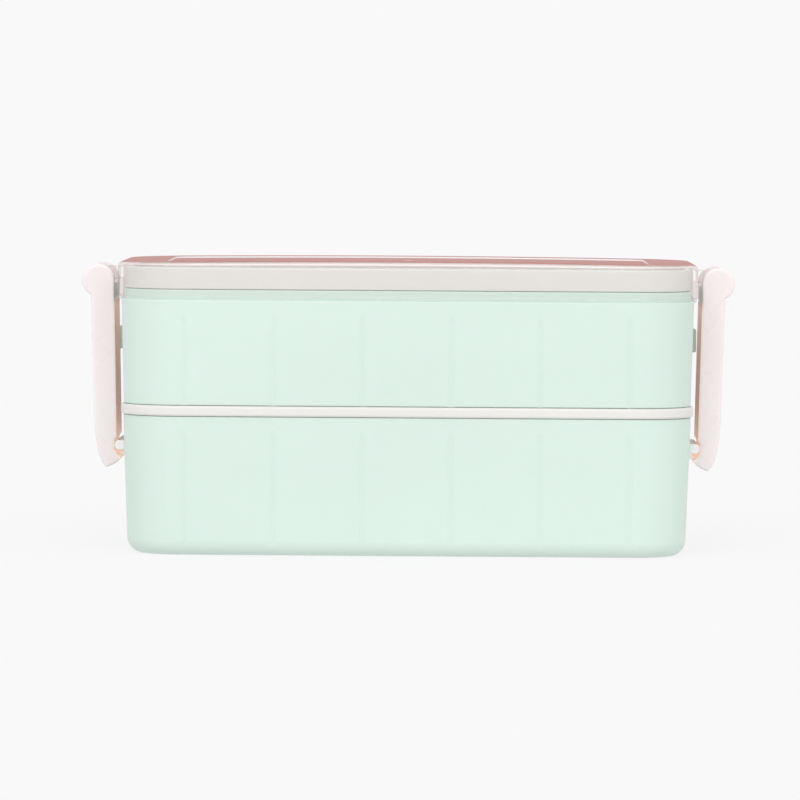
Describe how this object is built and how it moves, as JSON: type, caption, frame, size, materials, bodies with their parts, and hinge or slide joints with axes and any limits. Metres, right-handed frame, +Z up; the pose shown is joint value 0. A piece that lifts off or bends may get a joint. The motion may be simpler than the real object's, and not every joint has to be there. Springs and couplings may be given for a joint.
{
  "type": "bento lunch box",
  "caption": "Two-tier bento lunch box with a middle lid, an inner lid with a cutlery tray, a clear outer lid and a hinged latch at each end",
  "frame": {"origin": "centre of the bounding box's bottom face, on the surface the box stands on", "axes": "+X along the length, from the left latch to the right latch; +Y from the front to the back; +Z up"},
  "size_m": [0.2266, 0.1088, 0.101],
  "materials": {
    "tier_plastic": "moulded polypropylene, pale mint green, satin",
    "white_plastic": "moulded polypropylene, warm white, satin",
    "silicone": "translucent white silicone rubber",
    "clear_pink_plastic": "clear plastic with a pale pink tint, polished",
    "latch_plastic": "moulded plastic, pale pink, nearly opaque, semi-gloss",
    "pin_steel": "drawn stainless steel",
    "divider_plastic": "moulded polypropylene, pale pink, satin",
    "cutlery_plastic": "moulded plastic, pale mint green, satin"
  },
  "bodies": {
    "lower_tier": {"lower_tier": "tier_plastic", "left_catch_bar": "white_plastic", "right_catch_bar": "white_plastic"},
    "lower_divider": {"lower_divider": "divider_plastic"},
    "middle_lid": {"middle_lid": "white_plastic", "middle_lid_seal": "silicone"},
    "upper_tier": {"upper_tier": "tier_plastic"},
    "upper_divider": {"upper_divider": "divider_plastic"},
    "inner_lid": {"inner_lid": "white_plastic", "inner_lid_seal": "silicone"},
    "vent_plug": {"vent_plug": "silicone"},
    "spoon": {"spoon": "cutlery_plastic"},
    "fork": {"fork": "cutlery_plastic"},
    "inner_chopstick": {"inner_chopstick": "cutlery_plastic"},
    "outer_chopstick": {"outer_chopstick": "cutlery_plastic"},
    "outer_lid": {"outer_lid": "clear_pink_plastic", "left_hinge_pin": "pin_steel", "right_hinge_pin": "pin_steel"},
    "left_latch": {"left_latch": "latch_plastic"},
    "right_latch": {"right_latch": "latch_plastic"}
  },
  "joints": [
    {"name": "upper_tier_lift", "type": "slide", "parent": "lower_tier", "child": "upper_tier", "axis": [0, 0, 1], "range_m": [0, 0.058]},
    {"name": "lower_divider_lift", "type": "slide", "parent": "lower_tier", "child": "lower_divider", "axis": [0, 0, 1], "range_m": [0, 0.048]},
    {"name": "middle_lid_lift", "type": "slide", "parent": "lower_tier", "child": "middle_lid", "axis": [0, 0, 1], "range_m": [0, 0.05]},
    {"name": "upper_divider_lift", "type": "slide", "parent": "upper_tier", "child": "upper_divider", "axis": [0, 0, 1], "range_m": [0, 0.042]},
    {"name": "inner_lid_lift", "type": "slide", "parent": "upper_tier", "child": "inner_lid", "axis": [0, 0, 1], "range_m": [0, 0.046]},
    {"name": "spoon_lift", "type": "slide", "parent": "inner_lid", "child": "spoon", "axis": [0, 0, 1], "range_m": [0, 0.0105]},
    {"name": "fork_lift", "type": "slide", "parent": "inner_lid", "child": "fork", "axis": [0, 0, 1], "range_m": [0, 0.0105]},
    {"name": "inner_chopstick_lift", "type": "slide", "parent": "inner_lid", "child": "inner_chopstick", "axis": [0, 0, 1], "range_m": [0, 0.0105]},
    {"name": "outer_chopstick_lift", "type": "slide", "parent": "inner_lid", "child": "outer_chopstick", "axis": [0, 0, 1], "range_m": [0, 0.0105]},
    {"name": "outer_lid_lift", "type": "slide", "parent": "upper_tier", "child": "outer_lid", "axis": [0, 0, 1], "range_m": [0, 0.068]},
    {"name": "left_latch_hinge", "type": "hinge", "parent": "outer_lid", "child": "left_latch", "pos_m": [-0.1077, 0, 0.0933], "axis": [0, 1, 0], "range_deg": [0, 150]},
    {"name": "right_latch_hinge", "type": "hinge", "parent": "outer_lid", "child": "right_latch", "pos_m": [0.1077, 0, 0.0933], "axis": [0, -1, 0], "range_deg": [0, 150]},
    {"name": "vent_plug_lift", "type": "slide", "parent": "inner_lid", "child": "vent_plug", "axis": [0, 0, 1], "range_m": [0, 0.0008]}
  ],
  "couplings": [
    {"joint": "lower_divider_lift", "follows": "upper_tier_lift", "ratio": 0.82759},
    {"joint": "middle_lid_lift", "follows": "upper_tier_lift", "ratio": 0.86207},
    {"joint": "upper_divider_lift", "follows": "upper_tier_lift", "ratio": 0.72414},
    {"joint": "inner_lid_lift", "follows": "upper_tier_lift", "ratio": 0.7931},
    {"joint": "spoon_lift", "follows": "upper_tier_lift", "ratio": 0.18103},
    {"joint": "fork_lift", "follows": "upper_tier_lift", "ratio": 0.18103},
    {"joint": "inner_chopstick_lift", "follows": "upper_tier_lift", "ratio": 0.18103},
    {"joint": "outer_chopstick_lift", "follows": "upper_tier_lift", "ratio": 0.18103},
    {"joint": "outer_lid_lift", "follows": "upper_tier_lift", "ratio": 1.1724},
    {"joint": "left_latch_hinge", "follows": "upper_tier_lift", "rad_per_m": 45.138},
    {"joint": "right_latch_hinge", "follows": "upper_tier_lift", "rad_per_m": 45.138}
  ]
}
